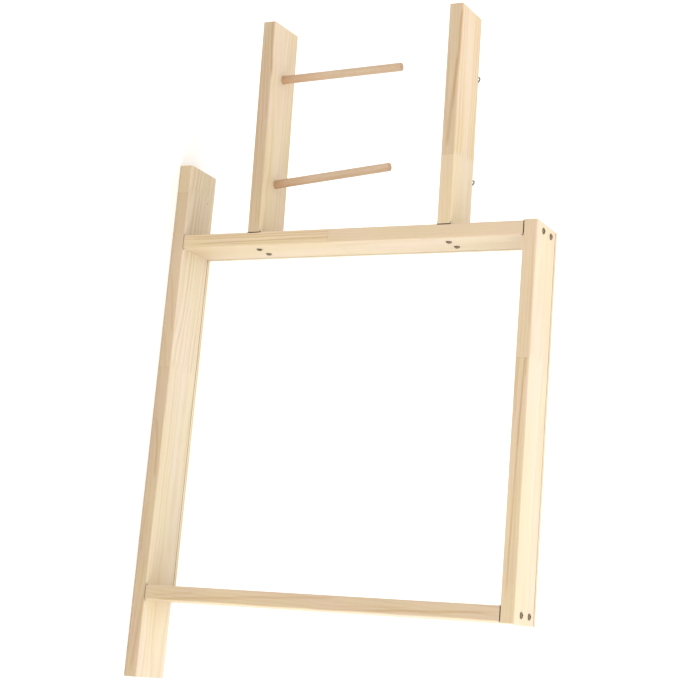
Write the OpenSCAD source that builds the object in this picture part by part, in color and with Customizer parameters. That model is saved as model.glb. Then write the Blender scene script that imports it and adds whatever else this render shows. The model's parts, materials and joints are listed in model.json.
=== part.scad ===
// Desk tufting frame: a square of pine boards on a long clamping foot, with two arms at its left
// that hold yarn cones on spindles and lead the yarn through screw eyes, and strips of
// slanted pins on the back that grip the cloth. Origin: middle of the foot's underside.

/* [Boards] */
// Thickness of every board
board_thickness = 19.5; // [15:0.5:30]
// Width of every board, from its front edge to its back edge
board_width = 68.5; // [55:0.5:100]
// Radius of the eased long edges
edge_radius = 2.5; // [0.5:0.5:4]

/* [Square] */
// Length of the foot board
base_length = 702; // [600:1:1100]
// How far the foot board sticks out to the left of the square, for a clamp
base_left_overhang = 101.5; // [60:0.5:200]
// Width of the square, over the outer faces of its side boards
frame_width = 500; // [300:1:700]
// Length of the side boards that stand on the foot
side_length = 502; // [300:1:800]
// How far each end of the top board passes the side boards
top_overhang = 1; // [0:0.5:10]

/* [Arms] */
// Length of both arms
arm_length = 302; // [260:1:450]
// Height of the lower arm's underside above the foot board
lower_arm_height = 100; // [60:1:140]
// Height of the upper arm's underside above the foot board
upper_arm_height = 382; // [360:1:460]
// Angle by which the lower arm turns towards the front
lower_arm_splay = 2.4; // [0:0.1:5]
// Angle by which the upper arm turns towards the front
upper_arm_splay = 1.8; // [0:0.1:5]

/* [Spindles] */
// Diameter of the dowels that carry the yarn cones
spindle_diameter = 11.8; // [8:0.1:16]
// Length of the outer spindle that stands above the arm
outer_spindle_reach = 183.3; // [100:0.1:210]
// Length of the inner spindle that stands above the arm
inner_spindle_reach = 175.4; // [100:0.1:210]
// Distance of the outer spindle from the square, along the arm
outer_spindle_distance = 226.3; // [180:0.1:240]
// Distance of the inner spindle from the square, along the arm
inner_spindle_distance = 74.5; // [50:0.1:120]
// Lean of the outer spindle away from the square
outer_spindle_lean = 1.4; // [0:0.1:6]
// Lean of the inner spindle away from the square
inner_spindle_lean = 5.2; // [0:0.1:6]
// Depth of a spindle's foot in the arm
spindle_depth = 14; // [8:0.5:14]
// Chamfer on both ends of a spindle
spindle_chamfer = 0.8; // [0.3:0.1:2]
// Radial clearance of a spindle in its hole
spindle_clearance = 0.06; // [0.02:0.01:0.1]

/* [Guide eyes] */
// Thickness of the screw eyes' wire
eye_wire = 2.2; // [1.5:0.1:3]
// Outer diameter of a screw eye's ring
eye_diameter = 16; // [12:0.5:24]
// Straight neck between the arm and the ring
eye_neck = 4; // [2:0.5:8]
// Length of the screw eye's shank inside the arm
eye_shank = 14; // [8:0.5:24]
// Distance of the outer eye from the square, along the arm
outer_eye_distance = 219; // [180:0.5:250]
// Distance of the inner eye from the square, along the arm
inner_eye_distance = 73.5; // [50:0.5:120]
// Angle of a ring's plane from the arm's length
eye_turn = 50; // [0:1:180]
// Radial clearance of a shank in its hole
eye_clearance = 0.05; // [0.02:0.01:0.1]

/* [Gripper strips] */
// Width of the strips
strip_width = 19; // [16:0.5:19.5]
// Thickness of the strips
strip_thickness = 6; // [5:0.5:9]
// Diameter of the pins
pin_diameter = 1.4; // [1:0.1:1.8]
// Length of a pin that stands out of its strip
pin_reach = 5.5; // [3:0.1:7]
// Depth of a pin in its strip
pin_depth = 4; // [2:0.1:4.5]
// Lean of the pins from square, towards the outer edge of the strip
pin_lean = 30; // [0:1:35]
// Distance between the pins of a row
pin_pitch = 25; // [10:1:50]
// Distance of the outer row of pins from the strip's outer edge
pin_edge = 4; // [3:0.5:5]
// Distance between the two rows of pins
pin_row_gap = 5; // [4:0.5:6]
// Diameter of a strip nail's shank
nail_diameter = 1.8; // [1.2:0.1:2.5]
// Diameter of a strip nail's head
nail_head = 4.6; // [3.5:0.1:5]
// Thickness of a strip nail's head
nail_head_thickness = 0.8; // [0.4:0.1:1.5]
// Depth of a strip nail in the board
nail_depth = 12; // [6:0.5:15]
// Distance of the nails from the strip's inner edge
nail_edge = 4.5; // [3:0.5:5]
// Distance of a strip's end nails from its ends
nail_end = 22; // [10:1:60]
// Number of nails in a strip
nail_count = 5; // [2:1:9]

/* [Screws] */
// Diameter of the screws' shanks
screw_diameter = 4; // [3:0.1:4.5]
// Diameter of the screws' heads
screw_head = 8; // [7:0.1:9]
// Length of the screws
screw_length = 50; // [35:1:55]
// How deep the foot's countersunk heads are sunk below the wood
screw_sink = 0.8; // [0.2:0.1:2]
// How far the pan heads stand out of the top board and the left side board
pan_height = 1.9; // [1.5:0.1:3]
// Distance of the front screws from the front edge, in the foot and the top board
corner_screw_front = 22; // [12:0.5:25]
// Distance between the two screws of a corner
corner_screw_gap = 28; // [15:0.5:32]
// Distance of the front screws from the front edge, in the arms
arm_screw_front = 20; // [12:0.5:25]
// Distance between the two screws of an arm
arm_screw_gap = 25; // [15:0.5:32]
// How far each arm's front screw, drilled by eye, is above the arm's middle
arm_screw_rise = 0.8; // [0:0.1:2]
// How much higher than the front one each arm's back screw is
arm_screw_drift = 1.3; // [0:0.1:2]

/* [Fit] */
// Clearance round the screws, nails and pins
fastener_clearance = 0.05; // [0.02:0.01:0.1]

/* [Hidden] */
$fn = 48;

// Colours
pine = "#F2E2BE";
beech = "#D8AE86";
plywood = "#EBDDB8";
zinc = "#B9BDC0";
black_steel = "#3A3632";

// Planes of the assembly, all worked out from the driving sizes
front = -board_width / 2;
back = front + board_width;
left_outer = base_left_overhang - base_length / 2;
left_inner = left_outer + board_thickness;
right_outer = left_outer + frame_width;
right_inner = right_outer - board_thickness;
base_top = board_thickness;
side_top = base_top + side_length;
frame_top = side_top + board_thickness;

// A cut starts this far outside the wood, so that no skin is left over it
over = 2;
// Free space under a spindle's foot
foot_gap = 0.3;
// Length of a screw's or a nail's point, and the flat left at its very tip
screw_point = 6;
nail_point = 2.5;
tip_diameter = 0.5;
// A gripper pin's point: its length, its tip's diameter, and the facets round a pin
pin_point = 2;
pin_tip = 0.25;
pin_facets = 16;
// Sloping rim of a pan head: its height and its width
pan_rim_height = 0.9;
pan_rim_width = 1.4;
// Cross recess of a screw's head: span, slot width and depth
recess_span = 4.4;
recess_slot = 1;
recess_depth = 1.4;
// Part of a screw eye's ring that is wire; the rest is the slit where the wire's end meets the neck
ring_arc = 345;

// Cross-section of a board with its corners eased, its first corner at the origin
module eased_section(size_x, size_y) {
    translate([edge_radius, 0]) square([size_x - 2 * edge_radius, size_y]);
    translate([0, edge_radius]) square([size_x, size_y - 2 * edge_radius]);
    for (x = [edge_radius, size_x - edge_radius], y = [edge_radius, size_y - edge_radius])
        translate([x, y]) circle(edge_radius);
}

// A board that lies flat along X
module flat_board(length) {
    rotate([90, 0, 90]) linear_extrude(length) eased_section(board_width, board_thickness);
}

// A board that stands on its end
module standing_board(length) {
    linear_extrude(length) eased_section(board_thickness, board_width);
}

// A screw's shank and point, from a start below its origin
module screw_shank(start) {
    translate([0, 0, screw_point - screw_length])
        cylinder(h = screw_length - screw_point - start, d = screw_diameter);
    translate([0, 0, -screw_length]) cylinder(h = screw_point, d1 = tip_diameter, d2 = screw_diameter);
}

// The cross recess of a head, cut down from its face
module cross_recess(face) {
    for (turn = [0, 90])
        rotate([0, 0, turn])
            translate([-recess_span / 2, -recess_slot / 2, face - recess_depth])
                cube([recess_span, recess_slot, recess_depth + over]);
}

// A countersunk wood screw, its head's face at the origin, pointing down
module countersunk_screw() {
    head_height = (screw_head - screw_diameter) / 2;
    difference() {
        union() {
            translate([0, 0, -head_height])
                cylinder(h = head_height, d1 = screw_diameter, d2 = screw_head);
            screw_shank(head_height);
        }
        cross_recess(0);
    }
}

// A pan head wood screw, its head standing on the origin, pointing down
module pan_screw() {
    flat_height = pan_height - pan_rim_height;
    difference() {
        union() {
            cylinder(h = flat_height, d = screw_head);
            translate([0, 0, flat_height])
                cylinder(h = pan_rim_height, d1 = screw_head, d2 = screw_head - 2 * pan_rim_width);
            screw_shank(0);
        }
        cross_recess(pan_height);
    }
}

// The hole of a screw's shank
module shank_hole() {
    translate([0, 0, -screw_length - fastener_clearance])
        cylinder(h = screw_length + fastener_clearance + over, d = screw_diameter + 2 * fastener_clearance);
}

// The hole that a countersunk screw needs, open above its head
module countersunk_hole() {
    head_height = (screw_head - screw_diameter) / 2;
    hole = screw_diameter + 2 * fastener_clearance;
    pocket = screw_head + 2 * fastener_clearance;
    translate([0, 0, -fastener_clearance]) cylinder(h = screw_sink + over, d = pocket);
    translate([0, 0, -head_height - fastener_clearance]) cylinder(h = head_height, d1 = hole, d2 = pocket);
    translate([0, 0, -screw_length - fastener_clearance]) cylinder(h = screw_length, d = hole);
}

// The two screw places of a corner, over the middle of a side board
module corner_screw_places(outer_face, z, turn) {
    for (y = [0, corner_screw_gap])
        translate([outer_face + board_thickness / 2, front + corner_screw_front + y, z])
            rotate([turn, 0, 0]) children();
}

// Screws of the top board, from above; screws of the foot board, from below
module top_screw_places(outer_face) {
    corner_screw_places(outer_face, frame_top, 0) children();
}

module base_screw_places(outer_face) {
    corner_screw_places(outer_face, screw_sink, 180) children();
}

// Screws of an arm, driven from the inner face of the left side board
module arm_screw_places(height) {
    middle = base_top + height + board_thickness / 2;
    for (i = [0, 1])
        translate([left_inner, front + arm_screw_front + i * arm_screw_gap,
                   middle + arm_screw_rise + i * arm_screw_drift])
            rotate([0, 90, 0]) children();
}

// Where an arm is: its front lower corner on the left side board, its length towards -X
module arm_place(height, splay) {
    translate([left_outer, front, base_top + height]) rotate([0, 0, splay]) children();
}

// A plain arm: its butt end is cut to lie flat on the side board
module arm_board(height, splay) {
    butt_spare = board_width * tan(splay) + over;
    difference() {
        arm_place(height, splay) translate([-arm_length, 0, 0]) flat_board(arm_length + butt_spare);
        translate([left_outer, front - board_width, base_top + height - over])
            cube([board_width, 3 * board_width, board_thickness + 2 * over]);
    }
}

// Where a spindle stands: on the lower arm's top, in its middle, leaning away from the square
module spindle_place(distance, lean) {
    arm_place(lower_arm_height, lower_arm_splay)
        translate([-distance, board_width / 2, board_thickness]) rotate([0, -lean, 0]) children();
}

// A dowel with chamfered ends, its foot below the arm's top
module spindle(reach) {
    small = spindle_diameter - 2 * spindle_chamfer;
    translate([0, 0, -spindle_depth])
        cylinder(h = spindle_chamfer, d1 = small, d2 = spindle_diameter);
    translate([0, 0, spindle_chamfer - spindle_depth])
        cylinder(h = reach + spindle_depth - 2 * spindle_chamfer, d = spindle_diameter);
    translate([0, 0, reach - spindle_chamfer])
        cylinder(h = spindle_chamfer, d1 = spindle_diameter, d2 = small);
}

module spindle_hole() {
    translate([0, 0, -spindle_depth - foot_gap])
        cylinder(h = spindle_depth + foot_gap + over, d = spindle_diameter + 2 * spindle_clearance);
}

// Where a screw eye is: in the middle of the upper arm's back face
module eye_place(distance) {
    arm_place(upper_arm_height, upper_arm_splay)
        translate([-distance, board_width, board_thickness / 2]) rotate([-90, 0, 0]) children();
}

// A screw eye: pointed shank, neck and a ring of the same wire
module screw_eye() {
    ring_radius = (eye_diameter - eye_wire) / 2;
    point = 2 * eye_wire;
    translate([0, 0, point - eye_shank])
        cylinder(h = eye_shank - point + eye_neck + eye_wire / 2, d = eye_wire);
    translate([0, 0, -eye_shank]) cylinder(h = point, d1 = tip_diameter, d2 = eye_wire);
    translate([0, 0, eye_neck + eye_diameter / 2])
        rotate([0, 0, eye_turn]) rotate([90, 0, 0]) rotate([0, 0, -90])
            rotate_extrude(angle = ring_arc) translate([ring_radius, 0]) circle(d = eye_wire);
}

module eye_hole() {
    translate([0, 0, -eye_shank - eye_clearance])
        cylinder(h = eye_shank + eye_clearance + over, d = eye_wire + 2 * eye_clearance);
}

// Length of each strip: the top one is as long as its board, the side ones stand between the others
function strip_length(side) =
    side == "bottom" ? frame_width :
    side == "top" ? frame_width + 2 * top_overhang :
    frame_top - strip_width - base_top;

// Start of each strip's inner edge on the boards' back faces
function strip_corner(side) =
    side == "bottom" ? [left_outer, back, base_top] :
    side == "right" ? [right_inner, back, base_top] :
    side == "top" ? [right_outer + top_overhang, back, frame_top - strip_width] :
    [left_inner, back, frame_top - strip_width];

function strip_turn(side) = side == "bottom" ? 0 : side == "right" ? -90 : side == "top" ? 180 : 90;

// A strip's own axes: X along it, Y towards its outer edge, Z away from the boards
module strip_place(side) {
    translate(strip_corner(side)) rotate([0, strip_turn(side), 0]) rotate([-90, 0, 0]) children();
}

// Two staggered rows of pins, as many as the strip's length takes
module pin_places(side) {
    count = floor(strip_length(side) / pin_pitch);
    margin = (strip_length(side) - (count - 0.5) * pin_pitch) / 2;
    for (row = [0, 1], i = [0 : count - 1]) {
        along = margin + (i + row / 2) * pin_pitch;
        across = strip_width - pin_edge - row * pin_row_gap;
        translate([along, across, strip_thickness]) rotate([-pin_lean, 0, 0]) children();
    }
}

module gripper_pin() {
    shank = pin_depth + pin_reach - pin_point;
    translate([0, 0, -pin_depth]) cylinder(h = shank, d = pin_diameter, $fn = pin_facets);
    translate([0, 0, shank - pin_depth])
        cylinder(h = pin_point, d1 = pin_diameter, d2 = pin_tip, $fn = pin_facets);
}

module pin_hole() {
    hole = pin_diameter + 2 * fastener_clearance;
    translate([0, 0, -pin_depth - fastener_clearance])
        cylinder(h = pin_depth + over, d = hole, $fn = pin_facets);
}

// A row of nails along a strip's inner half
module nail_places(side) {
    pitch = (strip_length(side) - 2 * nail_end) / (nail_count - 1);
    for (i = [0 : nail_count - 1])
        translate([nail_end + i * pitch, nail_edge, strip_thickness]) children();
}

module nail_hole() {
    depth = strip_thickness + nail_depth + fastener_clearance;
    translate([0, 0, -depth]) cylinder(h = depth + over, d = nail_diameter + 2 * fastener_clearance);
}

module strip_nail_holes(side) {
    strip_place(side) nail_places(side) nail_hole();
}

// The foot board, which lies on the table
module base_board() {
    color(pine) difference() {
        translate([-base_length / 2, front, 0]) flat_board(base_length);
        for (face = [left_outer, right_inner]) base_screw_places(face) countersunk_hole();
        strip_nail_holes("bottom");
    }
}

module left_side_board() {
    color(pine) difference() {
        translate([left_outer, front, base_top]) standing_board(side_length);
        base_screw_places(left_outer) countersunk_hole();
        top_screw_places(left_outer) shank_hole();
        for (height = [lower_arm_height, upper_arm_height]) arm_screw_places(height) shank_hole();
        strip_nail_holes("left");
    }
}

module right_side_board() {
    color(pine) difference() {
        translate([right_inner, front, base_top]) standing_board(side_length);
        base_screw_places(right_inner) countersunk_hole();
        top_screw_places(right_inner) shank_hole();
        strip_nail_holes("right");
    }
}

module top_board() {
    color(pine) difference() {
        translate([left_outer - top_overhang, front, side_top]) flat_board(frame_width + 2 * top_overhang);
        for (face = [left_outer, right_inner]) top_screw_places(face) shank_hole();
        strip_nail_holes("top");
    }
}

// The arm that carries the yarn cones
module lower_arm() {
    color(pine) difference() {
        arm_board(lower_arm_height, lower_arm_splay);
        arm_screw_places(lower_arm_height) shank_hole();
        spindle_place(outer_spindle_distance, outer_spindle_lean) spindle_hole();
        spindle_place(inner_spindle_distance, inner_spindle_lean) spindle_hole();
    }
}

// The arm that carries the guide eyes
module upper_arm() {
    color(pine) difference() {
        arm_board(upper_arm_height, upper_arm_splay);
        arm_screw_places(upper_arm_height) shank_hole();
        for (distance = [outer_eye_distance, inner_eye_distance]) eye_place(distance) eye_hole();
    }
}

module outer_spindle() {
    color(beech) spindle_place(outer_spindle_distance, outer_spindle_lean) spindle(outer_spindle_reach);
}

module inner_spindle() {
    color(beech) spindle_place(inner_spindle_distance, inner_spindle_lean) spindle(inner_spindle_reach);
}

module outer_guide_eye() {
    color(zinc) eye_place(outer_eye_distance) screw_eye();
}

module inner_guide_eye() {
    color(zinc) eye_place(inner_eye_distance) screw_eye();
}

// A batten with blind holes for its pins and through holes for its nails
module gripper_strip(side) {
    color(plywood) strip_place(side) difference() {
        cube([strip_length(side), strip_width, strip_thickness]);
        pin_places(side) pin_hole();
        nail_places(side) nail_hole();
    }
}

// Slanted pins that hold the cloth
module gripper_pins(side) {
    color(zinc) strip_place(side) pin_places(side) gripper_pin();
}

// Nails that fix a strip, their heads on its face
module strip_nails(side) {
    length = strip_thickness + nail_depth;
    color(zinc) strip_place(side) nail_places(side) {
        cylinder(h = nail_head_thickness, d = nail_head);
        translate([0, 0, nail_point - length]) cylinder(h = length - nail_point, d = nail_diameter);
        translate([0, 0, -length]) cylinder(h = nail_point, d1 = tip_diameter, d2 = nail_diameter);
    }
}

module base_screws(face) {
    color(black_steel) base_screw_places(face) countersunk_screw();
}

module top_screws(face) {
    color(black_steel) top_screw_places(face) pan_screw();
}

module arm_screws(height) {
    color(black_steel) arm_screw_places(height) pan_screw();
}

base_board();
left_side_board();
right_side_board();
top_board();
lower_arm();
upper_arm();
outer_spindle();
inner_spindle();
outer_guide_eye();
inner_guide_eye();
gripper_strip("bottom");  // bottom_gripper_strip
gripper_strip("right");  // right_gripper_strip
gripper_strip("top");  // top_gripper_strip
gripper_strip("left");  // left_gripper_strip
gripper_pins("bottom");  // bottom_gripper_pins
gripper_pins("right");  // right_gripper_pins
gripper_pins("top");  // top_gripper_pins
gripper_pins("left");  // left_gripper_pins
strip_nails("bottom");  // bottom_strip_nails
strip_nails("right");  // right_strip_nails
strip_nails("top");  // top_strip_nails
strip_nails("left");  // left_strip_nails
base_screws(left_outer);  // base_left_screws
base_screws(right_inner);  // base_right_screws
top_screws(left_outer);  // top_left_screws
top_screws(right_inner);  // top_right_screws
arm_screws(lower_arm_height);  // lower_arm_screws
arm_screws(upper_arm_height);  // upper_arm_screws
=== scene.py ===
import json
import math

import bpy
import numpy as np
from mathutils import Matrix, Vector


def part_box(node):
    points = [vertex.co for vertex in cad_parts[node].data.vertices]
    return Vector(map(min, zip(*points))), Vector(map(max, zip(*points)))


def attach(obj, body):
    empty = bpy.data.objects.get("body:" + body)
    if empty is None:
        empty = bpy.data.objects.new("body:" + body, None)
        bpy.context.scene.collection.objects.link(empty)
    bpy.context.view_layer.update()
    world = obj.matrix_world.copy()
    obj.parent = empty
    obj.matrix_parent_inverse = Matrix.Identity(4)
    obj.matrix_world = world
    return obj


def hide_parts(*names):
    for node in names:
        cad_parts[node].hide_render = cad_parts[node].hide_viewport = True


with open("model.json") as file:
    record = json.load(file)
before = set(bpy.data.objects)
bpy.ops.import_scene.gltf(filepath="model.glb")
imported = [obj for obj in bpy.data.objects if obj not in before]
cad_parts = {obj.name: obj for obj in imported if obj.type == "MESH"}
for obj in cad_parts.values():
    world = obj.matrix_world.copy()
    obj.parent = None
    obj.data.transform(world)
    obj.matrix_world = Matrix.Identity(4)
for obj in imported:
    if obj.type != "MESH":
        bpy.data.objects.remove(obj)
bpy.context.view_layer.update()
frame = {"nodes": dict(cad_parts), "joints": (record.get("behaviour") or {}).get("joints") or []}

# The desk tufting frame: planed pine boards, beech spindles, plated screw eyes, black screws and plywood
# gripper strips, on a pale studio floor. Lengths are in metres and places are in the frame of the model.

nodes = frame["nodes"]
MM = 0.001
SIDES = ("bottom", "right", "top", "left")

# Sizes repeated from the model's source, with angles in degrees
BOARD_WIDTH = 68.5 * MM
ARM_SPLAY = {"lower_arm": 2.4, "upper_arm": 1.8}
SPINDLE_LEAN = {"outer_spindle": 1.4, "inner_spindle": 5.2}
STRIP_THICKNESS = 6 * MM
EYE_WIRE = 2.2 * MM
EYE_DIAMETER = 16 * MM
EYE_NECK = 4 * MM
EYE_SHANK = 14 * MM
EYE_TURN = 50

# The photograph's camera, which was held a quarter turn over
CAMERA_PLACE = Vector((0.32413, -1.96058, 1.26581))
CAMERA_SIGHT = Vector((-0.233117, 0.873949, -0.426461))
CAMERA_RIGHT = Vector((-0.078839, 0.420115, 0.904040))
CAMERA_LENS = 89.263
CAMERA_SHIFT = (-0.0588, -0.1029)

# How a Mix node is told to blend two colours instead of two numbers
COLOURS = dict(data_type="RGBA", out=2)
# Rays that tell how closed in a place is, and the shader's usual specular level
SKY_RAYS = 8
USUAL_SPECULAR = 0.5


def linear(hex_colour, alpha=1.0):
    """Turns an sRGB hex colour into the linear colour that the shaders take, by sRGB's own curve."""
    parts = [int(hex_colour[i:i + 2], 16) / 255 for i in (1, 3, 5)]
    return [c / 12.92 if c <= 0.04045 else ((c + 0.055) / 1.055) ** 2.4 for c in parts] + [alpha]


def add(tree, kind, inputs=(), out=0, stops=None, **settings):
    """Adds one shader node and returns one of its results, or the node itself where out is None: inputs are
    its values and links, in order or by name or number, settings are its properties, and stops are a ramp's
    places and brightnesses."""
    made = tree.nodes.new("ShaderNode" + kind)
    for name, value in settings.items():
        setattr(made, name, value)
    for name, value in (inputs if isinstance(inputs, dict) else dict(enumerate(inputs))).items():
        if isinstance(value, bpy.types.NodeSocket):
            tree.links.new(value, made.inputs[name])
        else:
            made.inputs[name].default_value = value
    if stops:
        ramp = made.color_ramp.elements
        while len(ramp) < len(stops):
            ramp.new(0.5)
        for element, (place, shade) in zip(ramp, stops):
            element.position = place
            element.color = (shade, shade, shade, 1)
    return made if out is None else made.outputs[out]


def new_tree(name):
    """An empty material and its node tree."""
    material = bpy.data.materials.new(name)
    material.use_nodes = True
    material.node_tree.nodes.clear()
    return material, material.node_tree


def finish(tree, inputs):
    """Ends a material: its surface, with the links and values of its inputs."""
    surface = add(tree, "BsdfPrincipled", inputs)
    add(tree, "OutputMaterial", {"Surface": surface}, out=None)


def wood_space(tree, centre, turn):
    """Coordinates that run along the grain (X), across the board (Y) and into it (Z), from its centre."""
    place = add(tree, "TexCoord", out="Object")
    return add(tree, "Mapping", {"Vector": place, "Location": centre, "Rotation": turn},
               vector_type="TEXTURE")


def wood_facing(tree, turn):
    """Which way the surface faces, in the same directions."""
    facing = add(tree, "TexCoord", out="Normal")
    facing = add(tree, "Mapping", {"Vector": facing, "Rotation": turn}, vector_type="TEXTURE")
    return add(tree, "SeparateXYZ", [facing], out=None).outputs


def stretched_noise(tree, space, along, across, detail, roughness=0.5):
    """Noise drawn out along the grain; along and across are the sizes of its blotches."""
    scaled = add(tree, "VectorMath", [space, (1 / along, 1 / across, 1 / across)], operation="MULTIPLY")
    return add(tree, "TexNoise", {"Vector": scaled, "Scale": 1.0, "Detail": detail, "Roughness": roughness})


# Below, a wood's pattern is the length and width of its blotches, then the detail and roughness of its noise.
# A colour with a number is a colour and how strongly it covers. A shade is a factor and an offset: what a
# pattern is multiplied by, and what is added then. A range is where a change starts and where it ends.

# Pine, planed and lightly sanded, bare: cream faces and tanner edges, honey latewood lines 3 to 8 mm apart,
# straight fibres, small resin lines, and a matt surface that shines a little more on the hard latewood
PINE_FACE = ("#D5C9B4", "#CBB08C")
PINE_EDGE = ("#CFBB9D", "#B7A389")
PINE_LATE = "#AE8650"
PINE_STREAK = "#A07C44"
PINE_RESIN = ("#AB7A40", 0.35)
PINE_GLUE = ("#9C7F58", 0.25)
PINE_END = ("#D6C7B0", 0.6)
PINE_KNOT = ("#8A5A30", 0.3)
PINE_IOR = 1.47
PINE_ROUGHNESS = 0.66
LATEWOOD_GLOSS = 0.10

# Slow changes in the timber: how warm its colour is, its hue, as two faint filters, and how strong its
# lines are
PINE_WARMTH = (150 * MM, 45 * MM, 1.0)
PINE_WARMTH_DRIFT = 0.7
PINE_HUE = (90 * MM, 26 * MM, 1.0)
PINE_HUE_RANGE = (0.35, 0.65)
PINE_TINTS = ("#FFFBFB", "#FFFFF5")
PINE_LINE_BANDS = (170 * MM, 8 * MM, 2.0)

# Fibres are 0.03 mm wide in real pine; they are drawn 0.9 mm wide so that they show
PINE_FIBRES = (22 * MM, 0.9 * MM, 3.0, 0.6)
PINE_FIBRE_SHADE = (0.16, 0.92)
RESIN_LINES = (9 * MM, 0.7 * MM, 0.0)
RESIN_RARITY = 0.83
KNOT_CORE = 0.4

# Yearly rings: how far they wander and ripple, how dark a year is from its start to its end, how unevenly
# wide the years are, and the strength of a year's line, as a shade of a random number of its own
RING_WANDER = (240 * MM, 60 * MM, 1.0)
RING_WANDER_REACH = 10 * MM
RING_RIPPLE = (45 * MM, 30 * MM, 1.0)
RING_RIPPLE_REACH = 2 * MM
RING_DARKNESS = ((0.0, 0.45), (0.16, 0.03), (0.45, 0.10), (0.84, 0.92), (0.94, 0.80))
RING_UNEVENNESS = 0.45
YEAR_SHADE = (0.8, 0.5)

# Finger joints of the board's lengths. A glue line is 0.1 mm wide; it is drawn wider so that it shows
FINGER_LENGTH = 12 * MM
FINGER_PITCH = 9 * MM
GLUE_WIDTH = 0.5 * MM

# Drawn streaks lie in the timber under a front edge and end this far behind it. They waver, their sides are
# soft, they fade out over the last part of their length, and the fibres make them ragged
STREAK_DEPTH = 3.5 * MM
STREAK_WAVE = (60 * MM, 40 * MM, 1.0)
STREAK_WAVE_REACH = 2.4 * MM
STREAK_SOFTNESS = 1.3
STREAK_FULL_SHARE = 0.65
STREAK_RAGGED_SHADE = (1.2, 0.1)

# What the surface's facing, from 0 to 1 in each direction, says it is: an edge, an eased edge or an end
EDGE_RANGE = (0.35, 0.95)
EASED_RANGE = (0.03, 0.2)
PINE_END_FACING = 0.8

# Painted shade in the narrow grooves where two boards meet at their eased edges. The joints on the foot
# are tighter, so their painted shade is fainter. There is no painted shade at the floor
PINE_GROOVE_SHADE = "#2A1505"
GROOVE_REACH = 5 * MM
GROOVE_SKY_RANGE = (0.32, 0.47)
GROOVE_EASED_SHARE = 0.48
FOOT_JOINT_RANGE = (30 * MM, 60 * MM)
FOOT_JOINT_SHARE = 0.55

# The surface's relief: how much of its height the fibres and the latewood are, and the sunken glue lines
PINE_RELIEF = 0.10 * MM
PINE_RELIEF_STRENGTH = 0.35
FIBRE_RELIEF = 0.8
LATEWOOD_RELIEF = 0.6
GLUE_RELIEF = -0.5


def by_length(tree, past, values):
    """One number for each length of a board, changing where a seam is past."""
    made = values[0]
    for gone, before, after in zip(past, values, values[1:]):
        made = add(tree, "Math", [gone, after - before, made], operation="MULTIPLY_ADD")
    return made


def finger_joints(tree, along, across, seams):
    """Whether each seam is past, and where the glue lines are: a seam is a row of fingers, a triangle wave
    across the board whose tips are at the edges."""
    wave = add(tree, "Math", [across, BOARD_WIDTH / 2], operation="ADD")
    wave = add(tree, "Math", [wave, FINGER_PITCH / 2], operation="PINGPONG")
    steepness = -2 * FINGER_LENGTH / FINGER_PITCH
    reach = add(tree, "Math", [wave, steepness, FINGER_LENGTH], operation="MULTIPLY_ADD")
    shifted = add(tree, "Math", [along, reach], operation="SUBTRACT")
    past, glue = [], 0.0
    for seam in seams:
        beyond = add(tree, "Math", [shifted, seam * MM], operation="SUBTRACT")
        past.append(add(tree, "Math", [beyond, 0.0], operation="GREATER_THAN"))
        near = add(tree, "Math", [beyond], operation="ABSOLUTE")
        near = add(tree, "Math", [near, GLUE_WIDTH], operation="LESS_THAN")
        glue = add(tree, "Math", [glue, near], operation="MAXIMUM")
    return past, glue


def year_lines(tree, space, along, across, deep, own):
    """Late wood of the yearly rings: cylinders round a pith outside the board, cut by its faces, each ring
    pale at first, darkening slowly and ending sharply, and no two years alike."""
    wander = stretched_noise(tree, space, *RING_WANDER)
    middle_value = -(RING_WANDER_REACH + RING_RIPPLE_REACH) / 2
    wander = add(tree, "Math", [wander, RING_WANDER_REACH, middle_value], operation="MULTIPLY_ADD")
    ripple = stretched_noise(tree, space, *RING_RIPPLE)
    wander = add(tree, "Math", [ripple, RING_RIPPLE_REACH, wander], operation="MULTIPLY_ADD")
    side = add(tree, "Math", [own["pith_across"], -MM, across], operation="MULTIPLY_ADD")
    side = add(tree, "Math", [along, own["slope"], side], operation="MULTIPLY_ADD")
    rise = add(tree, "Math", [own["pith_below"], MM, deep], operation="MULTIPLY_ADD")
    rise = add(tree, "Math", [rise, rise], operation="MULTIPLY")
    square = add(tree, "Math", [side, side, rise], operation="MULTIPLY_ADD")
    radius = add(tree, "Math", [square], operation="SQRT")
    radius = add(tree, "Math", [radius, wander], operation="ADD")
    ring = add(tree, "Math", [own["ring"], MM], operation="MULTIPLY")
    years = add(tree, "Math", [radius, ring], operation="DIVIDE")
    uneven = add(tree, "TexNoise", {"W": years, "Scale": RING_UNEVENNESS, "Detail": 0.0},
                 noise_dimensions="1D")
    years = add(tree, "Math", [years, uneven], operation="ADD")
    late = add(tree, "Math", [years], operation="FRACT")
    late = add(tree, "ValToRGB", [late], stops=RING_DARKNESS)
    year = add(tree, "Math", [years], operation="FLOOR")
    year = add(tree, "TexWhiteNoise", {"W": year}, noise_dimensions="1D")
    year = add(tree, "Math", [year, *YEAR_SHADE], operation="MULTIPLY_ADD")
    return add(tree, "Math", [late, year], operation="MULTIPLY")


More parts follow.
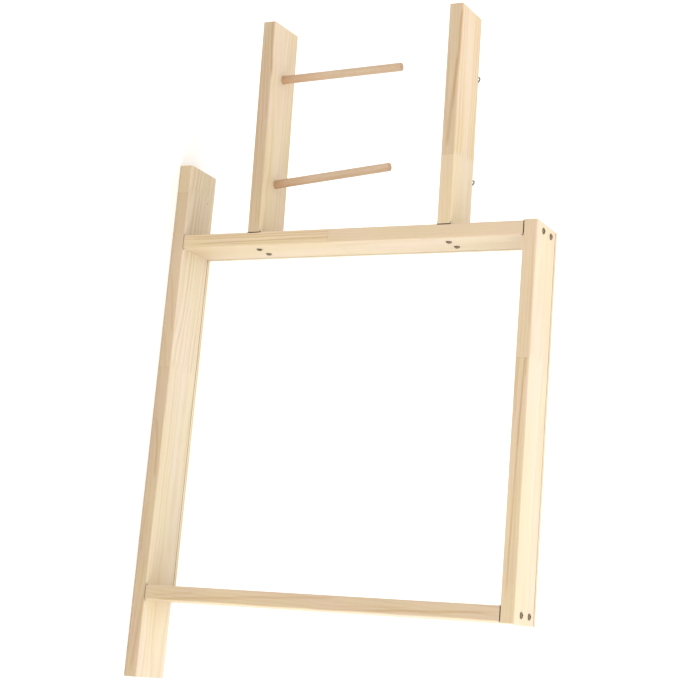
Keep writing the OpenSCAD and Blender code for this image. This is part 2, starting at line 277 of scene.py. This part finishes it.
def streaks(tree, space, along, across, deep, marks, seams, past):
    """Streaks drawn on a front edge, each a soft line from one place to another: how near the surface is to
    the line, times how near it is to the line's middle, times the streak's strength. A seam cuts them."""
    wave = stretched_noise(tree, space, *STREAK_WAVE)
    deep = add(tree, "Math", [wave, STREAK_WAVE_REACH, deep], operation="MULTIPLY_ADD")
    made = 0.0
    for start, start_deep, end, end_deep, width, strength in marks:
        slope = (end_deep - start_deep) / (end - start)
        level = (start_deep - slope * start) * MM + STREAK_WAVE_REACH / 2
        line = add(tree, "Math", [along, slope, level], operation="MULTIPLY_ADD")
        away = add(tree, "Math", [deep, line], operation="SUBTRACT")
        away = add(tree, "Math", [away], operation="ABSOLUTE")
        near = add(tree, "MapRange", [away, 0.0, STREAK_SOFTNESS * width * MM, strength, 0.0],
                   interpolation_type="SMOOTHSTEP")
        away = add(tree, "Math", [along, (start + end) / 2 * MM], operation="SUBTRACT")
        away = add(tree, "Math", [away], operation="ABSOLUTE")
        half = abs(end - start) / 2 * MM
        inside = add(tree, "MapRange", [away, STREAK_FULL_SHARE * half, half, 1.0, 0.0],
                     interpolation_type="SMOOTHSTEP")
        near = add(tree, "Math", [near, inside], operation="MULTIPLY")
        for seam, gone in zip(seams, past):
            wanted = 1.0 if start + end > 2 * seam else 0.0
            own_side = add(tree, "Math", [gone, wanted, 0.5], operation="COMPARE")
            near = add(tree, "Math", [near, own_side], operation="MULTIPLY")
        made = add(tree, "Math", [made, near], operation="MAXIMUM")
    front = STREAK_DEPTH - BOARD_WIDTH / 2
    front = add(tree, "MapRange", [across, front - STREAK_DEPTH / 2, front, 1.0, 0.0])
    return add(tree, "Math", [made, front], operation="MULTIPLY")


def pine(name, centre, turn, seams, lengths, marks, knots=()):
    """Pine of one board, whose faces, edges and ends show the same timber; each length between finger joints
    has a pith, lines and a warmth of its own."""
    material, tree = new_tree(name)
    space = wood_space(tree, centre, turn)
    along, across, deep = add(tree, "SeparateXYZ", [space], out=None).outputs
    past, glue = finger_joints(tree, along, across, seams)
    own = {fact: by_length(tree, past, values) for fact, values in zip(LENGTH_FACTS, zip(*lengths))}
    late = year_lines(tree, space, along, across, deep, own)

    lengthwise, sideways, upright = wood_facing(tree, turn)
    sideways = add(tree, "Math", [sideways], operation="ABSOLUTE")
    upright = add(tree, "Math", [upright], operation="ABSOLUTE")
    eased = add(tree, "Math", [sideways, upright], operation="MINIMUM")
    eased = add(tree, "MapRange", [eased, *EASED_RANGE, 0.0, 1.0])
    edge = add(tree, "MapRange", [upright, *EDGE_RANGE, 1.0, 0.0])
    end_grain = add(tree, "Math", [lengthwise], operation="ABSOLUTE")
    end_grain = add(tree, "Math", [end_grain, PINE_END_FACING], operation="GREATER_THAN")

    drift = stretched_noise(tree, space, *PINE_WARMTH)
    drift = add(tree, "Math", [drift, PINE_WARMTH_DRIFT, -PINE_WARMTH_DRIFT / 2], operation="MULTIPLY_ADD")
    tones = []
    for fact, colours in (("face_warmth", PINE_FACE), ("edge_warmth", PINE_EDGE)):
        warm = add(tree, "Math", [own[fact], drift], operation="ADD", use_clamp=True)
        tones.append(add(tree, "Mix", {0: warm, 6: linear(colours[0]), 7: linear(colours[1])}, **COLOURS))
    colour = add(tree, "Mix", {0: edge, 6: tones[0], 7: tones[1]}, **COLOURS)
    tint = stretched_noise(tree, space, *PINE_HUE)
    tint = add(tree, "MapRange", [tint, *PINE_HUE_RANGE, 0.0, 1.0])
    tint = add(tree, "Mix", {0: tint, 6: linear(PINE_TINTS[0]), 7: linear(PINE_TINTS[1])}, **COLOURS)
    colour = add(tree, "Mix", {0: 1.0, 6: colour, 7: tint}, blend_type="MULTIPLY", **COLOURS)

    band = stretched_noise(tree, space, *PINE_LINE_BANDS)
    lines = add(tree, "Mix", {0: edge, 2: own["face_lines"], 3: own["edge_lines"]})
    lines = add(tree, "Math", [lines, band], operation="MULTIPLY")
    lines = add(tree, "Math", [lines, late], operation="MULTIPLY")
    colour = add(tree, "Mix", {0: lines, 6: colour, 7: linear(PINE_LATE)}, **COLOURS)
    drawn = streaks(tree, space, along, across, deep, marks, seams, past)
    fibre = stretched_noise(tree, space, *PINE_FIBRES)
    ragged = add(tree, "Math", [fibre, *STREAK_RAGGED_SHADE], operation="MULTIPLY_ADD")
    drawn = add(tree, "Math", [drawn, ragged], operation="MULTIPLY")
    colour = add(tree, "Mix", {0: drawn, 6: colour, 7: linear(PINE_STREAK)}, **COLOURS)
    shade = add(tree, "Math", [fibre, *PINE_FIBRE_SHADE], operation="MULTIPLY_ADD")
    colour = add(tree, "Mix", {0: 1.0, 6: colour, 7: shade}, blend_type="MULTIPLY", **COLOURS)

    resin = stretched_noise(tree, space, *RESIN_LINES)
    resin = add(tree, "Math", [resin, RESIN_RARITY], operation="GREATER_THAN")
    for share, (tone, strength) in ((resin, PINE_RESIN), (glue, PINE_GLUE), (end_grain, PINE_END)):
        share = add(tree, "Math", [share, strength], operation="MULTIPLY")
        colour = add(tree, "Mix", {0: share, 6: colour, 7: linear(tone)}, **COLOURS)
    for place, size in knots:
        place = [number * MM for number in place]
        away = add(tree, "VectorMath", [space, place], out=1, operation="DISTANCE")
        core = add(tree, "MapRange", [away, KNOT_CORE * size * MM, size * MM, PINE_KNOT[1], 0.0])
        colour = add(tree, "Mix", {0: core, 6: colour, 7: linear(PINE_KNOT[0])}, **COLOURS)

    # Painted shade: the colour is darkened to a deep brown where few rays find open sky near a joint
    open_sky = add(tree, "AmbientOcclusion", {"Distance": GROOVE_REACH}, out="AO", samples=SKY_RAYS)
    open_sky = add(tree, "Math", [eased, -GROOVE_EASED_SHARE, open_sky], operation="MULTIPLY_ADD")
    groove_shade = add(tree, "MapRange", [open_sky, *GROOVE_SKY_RANGE, 1.0, 0.0])
    height = add(tree, "SeparateXYZ", [add(tree, "TexCoord", out="Object")], out=2)
    off_floor = add(tree, "Math", [height, GROOVE_REACH], operation="GREATER_THAN")
    groove_shade = add(tree, "Math", [groove_shade, off_floor], operation="MULTIPLY")
    above_foot = add(tree, "MapRange", [height, *FOOT_JOINT_RANGE, FOOT_JOINT_SHARE, 1.0])
    groove_shade = add(tree, "Math", [groove_shade, above_foot], operation="MULTIPLY")
    colour = add(tree, "Mix", {0: groove_shade, 6: colour, 7: linear(PINE_GROOVE_SHADE)}, **COLOURS)

    rough = add(tree, "Math", [late, -LATEWOOD_GLOSS, PINE_ROUGHNESS], operation="MULTIPLY_ADD")
    relief = add(tree, "Math", [fibre, FIBRE_RELIEF], operation="MULTIPLY")
    relief = add(tree, "Math", [late, LATEWOOD_RELIEF, relief], operation="MULTIPLY_ADD")
    relief = add(tree, "Math", [glue, GLUE_RELIEF, relief], operation="MULTIPLY_ADD")
    bump = add(tree, "Bump", {"Strength": PINE_RELIEF_STRENGTH, "Distance": PINE_RELIEF, "Height": relief})
    shine = add(tree, "Math", [groove_shade, -USUAL_SPECULAR, USUAL_SPECULAR], operation="MULTIPLY_ADD")
    finish(tree, {"Base Color": colour, "Roughness": rough, "Normal": bump, "IOR": PINE_IOR,
                  "Specular IOR Level": shine})
    return material


# Beech dowel, turned and bare: even pinkish tan with short dark flecks along it, a little warmer near the
# arm. Fibres are 0.02 mm wide in real beech; they are drawn 0.6 mm wide so that they show
BEECH_GROUND = "#C5AE91"
BEECH_DEEP = "#B19375"
BEECH_WARM = ("#B88C67", 0.55)
BEECH_WARM_RANGE = (-75 * MM, -10 * MM)
BEECH_FLECK = ("#8F6B49", 0.4)
BEECH_END = ("#C2A081", 0.7)
BEECH_END_FACING = 0.6
BEECH_TONES = (60 * MM, 4 * MM, 2.0)
BEECH_FIBRES = (14 * MM, 0.6 * MM, 2.0, 0.6)
BEECH_FIBRE_SHADE = (0.24, 0.88)
BEECH_FLECKS = (3.0 * MM, 0.45 * MM, 0.0)
FLECK_RARITY = 0.70
BEECH_RELIEF = 0.06 * MM
BEECH_RELIEF_STRENGTH = 0.3
BEECH_ROUGHNESS = 0.52
BEECH_IOR = 1.5
# How far along its grain the timber of the second spindle is from that of the first
SPINDLES_APART = 0.37


def beech(name, centre, turn, cut_at):
    """Beech of one dowel, with slow tone changes, flecks 3 mm long and paler ground end grain."""
    material, tree = new_tree(name)
    space = wood_space(tree, centre, turn)
    along = add(tree, "SeparateXYZ", [space])
    space = add(tree, "VectorMath", [space, (cut_at, 0.0, 0.0)], operation="ADD")
    tone = stretched_noise(tree, space, *BEECH_TONES)
    colour = add(tree, "Mix", {0: tone, 6: linear(BEECH_GROUND), 7: linear(BEECH_DEEP)}, **COLOURS)
    foot = add(tree, "MapRange", [along, *BEECH_WARM_RANGE, BEECH_WARM[1], 0.0])
    colour = add(tree, "Mix", {0: foot, 6: colour, 7: linear(BEECH_WARM[0])}, **COLOURS)
    fibre = stretched_noise(tree, space, *BEECH_FIBRES)
    shade = add(tree, "Math", [fibre, *BEECH_FIBRE_SHADE], operation="MULTIPLY_ADD")
    colour = add(tree, "Mix", {0: 1.0, 6: colour, 7: shade}, blend_type="MULTIPLY", **COLOURS)
    fleck = stretched_noise(tree, space, *BEECH_FLECKS)
    fleck = add(tree, "Math", [fleck, FLECK_RARITY], operation="GREATER_THAN")
    end_grain = add(tree, "Math", [wood_facing(tree, turn)[0]], operation="ABSOLUTE")
    end_grain = add(tree, "Math", [end_grain, BEECH_END_FACING], operation="GREATER_THAN")
    for share, (tone, strength) in ((fleck, BEECH_FLECK), (end_grain, BEECH_END)):
        share = add(tree, "Math", [share, strength], operation="MULTIPLY")
        colour = add(tree, "Mix", {0: share, 6: colour, 7: linear(tone)}, **COLOURS)
    bump = add(tree, "Bump", {"Strength": BEECH_RELIEF_STRENGTH, "Distance": BEECH_RELIEF, "Height": fibre})
    finish(tree, {"Base Color": colour, "Roughness": BEECH_ROUGHNESS, "Normal": bump, "IOR": BEECH_IOR})
    return material


# Thin plywood, sawn into strips: three plies of pale veneer, the middle one crosswise, so that its end
# grain makes a darker line along the strip's edges, speckled about every millimetre. Its fibres are drawn
# 0.7 mm wide, much coarser than they are, so that they show
PLY_FACE = "#E0D5BB"
PLY_FIGURE = ("#CEB48A", 0.75)
PLY_FIGURE_RANGE = (0.42, 0.68)
PLY_FIGURES = (120 * MM, 6 * MM, 3.0, 0.6)
PLY_CORE = "#BFA072"
PLY_CORE_SHADE = (0.8, 0.35)
PLY_CORE_SPECKS = 900.0
PLY_FIBRES = (16 * MM, 0.7 * MM, 2.0, 0.6)
PLY_FIBRE_SHADE = (0.14, 0.93)
PLY_RELIEF = 0.12 * MM
PLY_RELIEF_STRENGTH = 0.4
PLY_ROUGHNESS = 0.72
PLY_IOR = 1.47
# How many more specks to a metre each strip has than the one before it, so that no two are alike
STRIP_SPECKS_STEP = 7.0


def plywood(name, back_face, centre, turn, more_specks):
    """Plywood of one strip; a ply is a third of its thickness, counted from the face on the boards."""
    material, tree = new_tree(name)
    space = wood_space(tree, centre, turn)
    figure = stretched_noise(tree, space, *PLY_FIGURES)
    share = add(tree, "MapRange", [figure, *PLY_FIGURE_RANGE, 0.0, PLY_FIGURE[1]])
    colour = add(tree, "Mix", {0: share, 6: linear(PLY_FACE), 7: linear(PLY_FIGURE[0])}, **COLOURS)
    height = add(tree, "SeparateXYZ", [add(tree, "TexCoord", out="Object")], out=1)
    from_middle = add(tree, "Math", [height, back_face + STRIP_THICKNESS / 2], operation="SUBTRACT")
    from_middle = add(tree, "Math", [from_middle], operation="ABSOLUTE")
    core = add(tree, "Math", [from_middle, STRIP_THICKNESS / 6], operation="LESS_THAN")
    speck = add(tree, "TexNoise", {"Vector": space, "Scale": PLY_CORE_SPECKS + more_specks, "Detail": 1.0})
    speck = add(tree, "Math", [speck, *PLY_CORE_SHADE], operation="MULTIPLY_ADD")
    core = add(tree, "Math", [core, speck], operation="MULTIPLY")
    colour = add(tree, "Mix", {0: core, 6: colour, 7: linear(PLY_CORE)}, **COLOURS)
    fibre = stretched_noise(tree, space, *PLY_FIBRES)
    shade = add(tree, "Math", [fibre, *PLY_FIBRE_SHADE], operation="MULTIPLY_ADD")
    colour = add(tree, "Mix", {0: 1.0, 6: colour, 7: shade}, blend_type="MULTIPLY", **COLOURS)
    bump = add(tree, "Bump", {"Strength": PLY_RELIEF_STRENGTH, "Distance": PLY_RELIEF, "Height": fibre})
    finish(tree, {"Base Color": colour, "Roughness": PLY_ROUGHNESS, "Normal": bump, "IOR": PLY_IOR})
    return material


# Bright zinc plate on steel: its colour, its roughness and the size of its unevenness
ZINC_PINS = ("#C4C6C9", 0.34, 0.6 * MM)
ZINC_NAILS = ("#B9B8B4", 0.42, 0.8 * MM)
ZINC_WIRE = ("#707276", 0.35, 1.5 * MM)
ZINC_GLOSS_SHADE = (0.25, -0.12)
ZINC_RELIEF = 0.02 * MM
ZINC_RELIEF_STRENGTH = 0.2


def plated_steel(name, colour, rough, grit):
    """Zinc-plated steel: a pale metal with a slight drawn unevenness in its gloss."""
    material, tree = new_tree(name)
    place = add(tree, "TexCoord", out="Object")
    stain = add(tree, "TexNoise", {"Vector": place, "Scale": 1 / grit, "Detail": 3.0, "Roughness": 0.6})
    factor, offset = ZINC_GLOSS_SHADE
    gloss = add(tree, "Math", [stain, factor, rough + offset], operation="MULTIPLY_ADD")
    bump = add(tree, "Bump", {"Strength": ZINC_RELIEF_STRENGTH, "Distance": ZINC_RELIEF, "Height": stain})
    finish(tree, {"Base Color": linear(colour), "Roughness": gloss, "Normal": bump, "Metallic": 1.0})
    return material


# Phosphate on steel screws: brown-black, rubbed grey-brown in specks on the heads, with painted shade in the
# cross recess. It is a metal under a thin mineral skin, so it is only partly metallic
PHOSPHATE = "#584833"
PHOSPHATE_RUBBED = ("#AA9C82", 0.85)
PHOSPHATE_RUBBED_RANGE = (0.45, 0.62)
PHOSPHATE_SPECK = 1 * MM
PHOSPHATE_RECESS_SHADE = "#1A130B"
RECESS_REACH = 2 * MM
RECESS_SKY_RANGE = (0.2, 0.45)
PHOSPHATE_ROUGH_SHADE = (0.3, 0.22)
PHOSPHATE_METAL = 0.7


def phosphated_steel(name):
    """Phosphated steel, whose rubbed specks are about 1 mm apart."""
    material, tree = new_tree(name)
    place = add(tree, "TexCoord", out="Object")
    wear = add(tree, "TexNoise", {"Vector": place, "Scale": 1 / PHOSPHATE_SPECK, "Detail": 3.0,
                                  "Roughness": 0.65})
    tone, strength = PHOSPHATE_RUBBED
    worn = add(tree, "MapRange", [wear, *PHOSPHATE_RUBBED_RANGE, 0.0, strength])
    colour = add(tree, "Mix", {0: worn, 6: linear(PHOSPHATE), 7: linear(tone)}, **COLOURS)
    # Painted shade: the colour is darkened almost to black where the cross recess is closed in
    open_sky = add(tree, "AmbientOcclusion", {"Distance": RECESS_REACH}, out="AO", samples=SKY_RAYS)
    recess_shade = add(tree, "MapRange", [open_sky, *RECESS_SKY_RANGE, 1.0, 0.0])
    colour = add(tree, "Mix", {0: recess_shade, 6: colour, 7: linear(PHOSPHATE_RECESS_SHADE)}, **COLOURS)
    rough = add(tree, "Math", [wear, *PHOSPHATE_ROUGH_SHADE], operation="MULTIPLY_ADD")
    finish(tree, {"Base Color": colour, "Roughness": rough, "Metallic": PHOSPHATE_METAL})
    return material


def dress(name, material):
    """Gives a node of the model its material."""
    node = nodes[name]
    for place in range(len(node.material_slots)):
        node.material_slots[place].material = material
    if not node.material_slots:
        node.data.materials.append(material)


def middle(name):
    """The middle of a node's box."""
    low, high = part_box(name)
    return (low + high) / 2


# A flat board has its grain along X; a standing one has it along Z, counted downwards
FLAT = (0.0, 0.0, 0.0)
STANDING = (0.0, math.radians(90), 0.0)


def splayed(arm):
    """How an arm lies: flat, and turned a little towards the front."""
    return (0.0, 0.0, math.radians(ARM_SPLAY[arm]))


# What is said of each length of a board between its finger joints: where the pith lies from the board's
# middle (mm), how the grain slopes, the width of a year's ring (mm), how strong the lines are on faces and
# edges, and how warm their colours are
LENGTH_FACTS = ("pith_across", "pith_below", "slope", "ring", "face_lines", "edge_lines", "face_warmth",
                "edge_warmth")

# Boards: how each lies, where its finger joints start (from its middle, in mm), and its lengths. Then the
# streaks on its front edge: start and end, each a place along the board and one across the edge (mm), width
# (mm) and strength. Last its knots: place and size (mm)
BOARDS = {
    "base_board": dict(
        turn=FLAT,
        seams=(-323, -74),
        lengths=((-62, 78, 0.05, 3.6, 0.75, 0.3, 0.0, 0.35),
                 (-58, 74, 0.07, 3.5, 0.7, 0.35, 0.0, 0.6),
                 (14, 46, 0.02, 3.8, 0.4, 0.35, 0.1, 0.75)),
        marks=((5, -3, 55, 4, 2.0, 0.6), (32, 2, 92, 4.6, 1.8, 0.7), (-205, -5.5, -105, 7.5, 2.2, 0.3),
               (-120, -6, -40, 4, 2.0, 0.25), (120, -3.5, 195, -4.8, 1.6, 0.35),
               (225, 8.5, 352, -1, 3.4, 0.45), (180, 4, 330, -6.5, 2.0, 0.3)),
        knots=(((-309, 16, 9.75), 2.2),)),
    "top_board": dict(
        turn=FLAT,
        seams=(-84,),
        lengths=((-20, 60, 0.03, 4.2, 0.3, 0.4, 0.25, 0.25),
                 (26, 52, 0.02, 3.6, 0.3, 0.45, 0.05, 0.22)),
        marks=((-120, 4.3, 60, 0, 1.6, 0.85), (20, 0.8, 230, -3.2, 1.6, 0.6), (-115, 6.2, -42, 5, 1.1, 0.6),
               (-120, -4.1, 15, -5.4, 1.4, 0.5), (-120, -6.3, -10, -7, 1.2, 0.45),
               (60, 4, 230, 1.5, 1.4, 0.2), (-240, 5, -100, 7, 1.8, 0.25))),
    "left_side_board": dict(
        turn=STANDING,
        seams=(14,),
        lengths=((-16, 50, 0.01, 4.0, 0.35, 0.2, 0.25, 0.3),
                 (22, 64, 0.00, 3.2, 0.4, 0.5, 0.25, 0.1)),
        marks=((-60, 0.9, 262, 4.6, 1.3, 0.6), (-20, 3, 120, 3.9, 1.0, 0.45), (-60, -2.2, 262, -3, 1.3, 0.5),
               (-60, -6.4, 262, -5.4, 1.3, 0.6), (70, 6.8, 190, 6.2, 1.2, 0.4))),
    "right_side_board": dict(
        turn=STANDING,
        seams=(),
        lengths=((30, 58, -0.04, 3.8, 0.4, 0.5, 0.3, 0.6),),
        marks=((100, 0.6, 240, 8.6, 2.2, 0.5), (-40, -7.4, 130, 1.2, 2.0, 0.45),
               (-252, -0.8, -60, 6.6, 2.0, 0.6), (-110, 5.4, 10, 9, 1.5, 0.35),
               (-140, -0.8, -20, 4, 1.2, 0.3), (170, -3, 245, 3.5, 1.6, 0.3))),
    "lower_arm": dict(
        turn=splayed("lower_arm"),
        seams=(),
        lengths=((-12, 52, 0.02, 3.0, 0.6, 0.6, 0.35, 0.95),),
        marks=((-165, 4, -65, 9, 1.8, 0.75), (-158, -0.8, 0, 6, 1.3, 0.5), (-150, -5, 40, 2, 1.3, 0.5),
               (-120, -7.8, 120, -2.6, 1.3, 0.55), (-50, -8.4, 150, -5.6, 1.2, 0.5),
               (20, 4.4, 150, 6.8, 1.2, 0.4), (0, 1, 150, 2.6, 1.1, 0.35))),
    "upper_arm": dict(
        turn=splayed("upper_arm"),
        seams=(46,),
        lengths=((-6, 44, 0.05, 4.4, 0.85, 0.45, 0.5, 0.65),
                 (30, 60, 0.02, 4.0, 0.4, 0.35, 0.3, 0.25)),
        marks=((-150, 9.4, -50, 5.6, 2.0, 0.75), (-85, 6.8, 5, 1.8, 2.8, 0.85),
               (-40, 3.8, 52, -2.2, 3.4, 0.6), (-100, -5, 30, -7, 1.6, 0.3))),
}


def dress_boards():
    """Each board gets pine of its own."""
    for name, board in BOARDS.items():
        dress(name, pine(f"planed_pine_{name}", middle(name), **board))


def dress_spindles():
    """The grain of a spindle runs up it, along its lean."""
    for place, (name, lean) in enumerate(SPINDLE_LEAN.items()):
        turn = (0.0, math.radians(-90 - lean), 0.0)
        dress(name, beech(f"beech_{name}", middle(name), turn, place * SPINDLES_APART))


def dress_strips():
    """The grain of a strip runs along it."""
    for place, side in enumerate(SIDES):
        name = f"{side}_gripper_strip"
        turn = FLAT if side in ("bottom", "top") else STANDING
        back_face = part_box(name)[0].y
        dress(name, plywood(f"plywood_{side}", back_face, middle(name), turn, place * STRIP_SPECKS_STEP))


def dress_metal():
    """Pins and nails are zinc-plated and the screws are phosphated."""
    pins = plated_steel("zinc_plated_pins", *ZINC_PINS)
    nails = plated_steel("zinc_plated_nails", *ZINC_NAILS)
    for side in SIDES:
        dress(f"{side}_gripper_pins", pins)
        dress(f"{side}_strip_nails", nails)
    black = phosphated_steel("brown_black_phosphated_steel")
    for name in nodes:
        if name.endswith("_screws"):
            dress(name, black)


# A screw eye is one wire: a threaded shank that narrows to a point, a short neck, and a bend into an almost
# closed ring. The ring starts and ends these many degrees past and before its foot, next to the shank
EYE_THREAD_PITCH = 1.1 * MM
EYE_THREAD_DEPTH = 0.28 * MM
EYE_THREAD_END = 1.6 * MM
EYE_THREAD_FADE = 1.5 * EYE_THREAD_PITCH
EYE_TAPER = 2.5 * EYE_WIRE
EYE_TIP = 0.25 * MM
EYE_POLE = 0.02 * MM
EYE_BEND = 3.2 * MM
EYE_BEND_PULLS = (0.62, 0.55)
EYE_RING_START = 30.8
EYE_RING_END = 14
EYE_SHANK_STEPS = 150
EYE_BEND_STEPS = 9
EYE_RING_STEPS = 96
EYE_SIDES = 20


def eye_line():
    """The wire's centre line in the eye's own plane, as points (sideways, outwards) with a straight shank,
    then a cubic curve that leaves along the shank and meets the ring along it, then the ring round
    (0, neck + half a diameter); and the directions along the line."""
    ring = (EYE_DIAMETER - EYE_WIRE) / 2
    centre = EYE_NECK + EYE_DIAMETER / 2
    straight = np.linspace(-EYE_SHANK, centre - ring - EYE_BEND, EYE_SHANK_STEPS)
    shank = np.stack([np.zeros_like(straight), straight], axis=1)
    start = math.radians(EYE_RING_START - 90)
    end = math.radians(270 - EYE_RING_END)
    angle = np.linspace(start, end, EYE_RING_STEPS)
    loop = np.stack([ring * np.cos(angle), centre + ring * np.sin(angle)], axis=1)
    first, last = shank[-1], loop[0]
    upward = np.array([0.0, 1.0])
    onward = np.array([-math.sin(start), math.cos(start)])
    leaving = first + EYE_BEND_PULLS[0] * EYE_BEND * upward
    meeting = last - EYE_BEND_PULLS[1] * EYE_BEND * onward
    t = np.linspace(0, 1, EYE_BEND_STEPS)[1:-1, None]
    bend = ((1 - t) ** 3 * first + 3 * (1 - t) ** 2 * t * leaving + 3 * (1 - t) * t ** 2 * meeting
            + t ** 3 * last)
    line = np.concatenate([shank, bend, loop])
    along = np.gradient(line, axis=0)
    return line, along / np.linalg.norm(along, axis=1, keepdims=True)


def eye_surface():
    """A tube round the wire's line: at each point a circle in the plane across the line. On the shank its
    radius follows a helix, one ridge for each turn, and it narrows to a point at the tip. A last ring of
    points, drawn in almost to the middle, ends each end. X is sideways, Y out of the plane, Z outwards."""
    line, along = eye_line()
    line = np.concatenate([line[:1], line, line[-1:]])
    along = np.concatenate([along[:1], along, along[-1:]])
    angle = np.linspace(0, 2 * math.pi, EYE_SIDES, endpoint=False)
    outward = line[:, 1]
    turns = outward[:, None] / EYE_THREAD_PITCH - angle[None, :] / (2 * math.pi)
    ridge = 1 - np.abs(2 * (turns % 1) - 1)
    fade = np.clip((EYE_THREAD_END - outward) / EYE_THREAD_FADE, 0, 1)[:, None]
    on_shank = np.arange(len(line))[:, None] <= EYE_SHANK_STEPS
    radius = EYE_WIRE / 2 - EYE_THREAD_DEPTH * fade * on_shank * (1 - ridge)
    taper = np.clip((outward + EYE_SHANK) / EYE_TAPER, 0, 1)[:, None]
    radius = EYE_TIP + (radius - EYE_TIP) * taper
    radius[[0, -1]] = EYE_POLE
    side = np.stack([along[:, 1], -along[:, 0]], axis=1)
    flat = radius * np.cos(angle)
    x = line[:, :1] + flat * side[:, :1]
    y = radius * np.sin(angle)
    z = line[:, 1:] + flat * side[:, 1:]
    return np.stack([x, y, z], axis=2)


def grid_faces(rows, columns):
    """Quads of a grid whose rows are closed round."""
    first = np.arange(rows - 1)[:, None] * columns
    here = np.arange(columns)[None, :]
    beside = (here + 1) % columns
    quads = [first + here, first + columns + here, first + columns + beside, first + beside]
    return np.stack(quads, axis=2).reshape(-1, 4)


def make_guide_eyes():
    """A wire stands for each guide eye, seated and turned as the model's, and rides on the eye's body."""
    zinc = plated_steel("zinc_plated_wire", *ZINC_WIRE)
    surface = eye_surface()
    faces = grid_faces(*surface.shape[:2])
    for joint in frame["joints"]:
        if not joint["name"].endswith("guide_eye_turn"):
            continue
        eye = joint["child"]
        seat, outwards = Vector(joint["pos_m"]), Vector(joint["axis"])
        sideways = Vector((0, 0, 1)).cross(outwards).normalized()
        basis = Matrix((sideways, outwards.cross(sideways), outwards)).transposed()
        basis = basis @ Matrix.Rotation(math.radians(EYE_TURN), 3, "Z")
        points = surface.reshape(-1, 3) @ np.array(basis).T + np.array(seat)
        mesh = bpy.data.meshes.new(f"{eye}_wire")
        mesh.from_pydata(points.tolist(), [], faces.tolist())
        mesh.polygons.foreach_set("use_smooth", np.full(len(mesh.polygons), True))
        mesh.materials.append(zinc)
        wire = bpy.data.objects.new(f"{eye}_wire", mesh)
        bpy.context.scene.collection.objects.link(wire)
        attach(wire, eye)
        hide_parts(eye)


# The floor's two pale paint tones, and how many clouds of them there are to a metre
FLOOR_TONES = ("#FAFAF9", "#FDFDFC")
FLOOR_CLOUDS = 1.5
FLOOR_ROUGHNESS = 0.8
FLOOR_HALF = 30.0


def make_floor():
    """A large pale painted floor, level with the foot's underside."""
    material, tree = new_tree("pale_studio_floor")
    place = add(tree, "TexCoord", out="Object")
    cloud = add(tree, "TexNoise", {"Vector": place, "Scale": FLOOR_CLOUDS, "Detail": 2.0})
    colour = add(tree, "Mix", {0: cloud, 6: linear(FLOOR_TONES[0]), 7: linear(FLOOR_TONES[1])}, **COLOURS)
    finish(tree, {"Base Color": colour, "Roughness": FLOOR_ROUGHNESS})
    half = FLOOR_HALF
    corners = [(-half, -half, 0), (half, -half, 0), (half, half, 0), (-half, half, 0)]
    mesh = bpy.data.meshes.new("floor")
    mesh.from_pydata(corners, [], [(0, 1, 2, 3)])
    mesh.materials.append(material)
    floor = bpy.data.objects.new("floor", mesh)
    bpy.context.scene.collection.objects.link(floor)


# Studio lights: where each stands, what it points at, its width, its power in watts and its colour. The room
# around them is white
LIGHTS = {
    "key_softbox": dict(place=(3.64, -0.7, 3.0), aim=(0.0, 0.0, 0.25), size=3.6, power=89,
                        colour="#FFFEFC"),
    "top_softbox": dict(place=(-0.2, 0.3, 5.0), aim=(0.0, 0.0, 0.25), size=4.7, power=67.5,
                        colour="#FFFFFF"),
}
ROOM_COLOUR = "#FFFFFF"
ROOM_LIGHT = 1.1


def turned_to(sight, right=None):
    """The rotation of a camera or light that looks along sight, with its right side as given."""
    back = -sight.normalized()
    right = right or Vector((0, 0, 1)).cross(back)
    up = back.cross(right).normalized()
    return Matrix((up.cross(back), up, back)).transposed().to_4x4()


def make_lights():
    """Two round softboxes and the even light of a white room."""
    for name, light in LIGHTS.items():
        lamp = bpy.data.lights.new(name, "AREA")
        lamp.shape = "DISK"
        lamp.size = light["size"]
        lamp.energy = light["power"]
        lamp.color = linear(light["colour"])[:3]
        place, aim = Vector(light["place"]), Vector(light["aim"])
        holder = bpy.data.objects.new(name, lamp)
        holder.matrix_world = Matrix.Translation(place) @ turned_to(aim - place)
        bpy.context.scene.collection.objects.link(holder)
    world = bpy.data.worlds.new("studio")
    world.use_nodes = True
    room = world.node_tree.nodes["Background"].inputs
    room["Color"].default_value = linear(ROOM_COLOUR)
    room["Strength"].default_value = ROOM_LIGHT
    bpy.context.scene.world = world
    bpy.context.scene.view_settings.view_transform = "Standard"


def make_camera():
    """The photograph's camera."""
    data = bpy.data.cameras.new("camera")
    data.lens = CAMERA_LENS
    data.shift_x, data.shift_y = CAMERA_SHIFT
    camera = bpy.data.objects.new("camera", data)
    camera.matrix_world = Matrix.Translation(CAMERA_PLACE) @ turned_to(CAMERA_SIGHT, CAMERA_RIGHT)
    bpy.context.scene.collection.objects.link(camera)
    bpy.context.scene.camera = camera


make_camera()
make_lights()
make_floor()
dress_boards()
dress_spindles()
dress_strips()
dress_metal()
make_guide_eyes()
